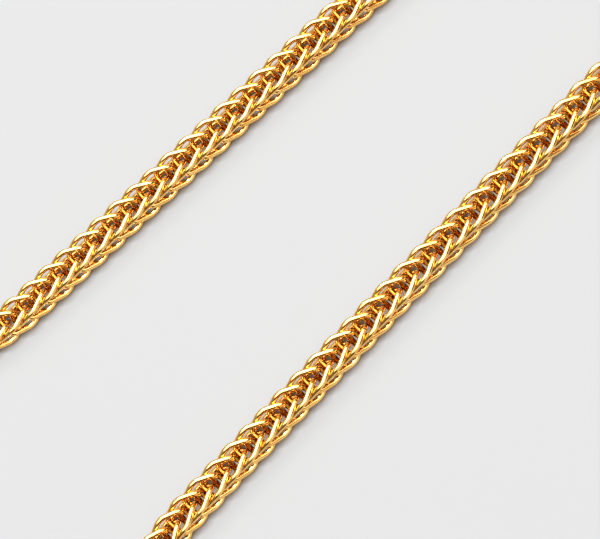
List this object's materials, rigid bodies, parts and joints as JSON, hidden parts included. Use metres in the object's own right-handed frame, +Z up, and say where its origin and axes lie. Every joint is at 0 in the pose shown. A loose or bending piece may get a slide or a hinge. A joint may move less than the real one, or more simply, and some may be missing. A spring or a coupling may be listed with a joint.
{
  "type": "franco chain necklace",
  "caption": "Closed necklace of four-column interlocked wire links, lying flat, with a plain barrel clasp between two rings.",
  "frame": {"origin": "middle of the lying necklace's footprint, on the surface it lies on", "axes": "+Z up from the surface, +X along the two straight strands towards the clasp, +Y across the strands"},
  "size_m": [0.2461, 0.0948, 0.007],
  "materials": {
    "gold": "high polish yellow gold"
  },
  "bodies": {
    "root": {"chain": "gold", "clasp": "gold"}
  },
  "joints": []
}
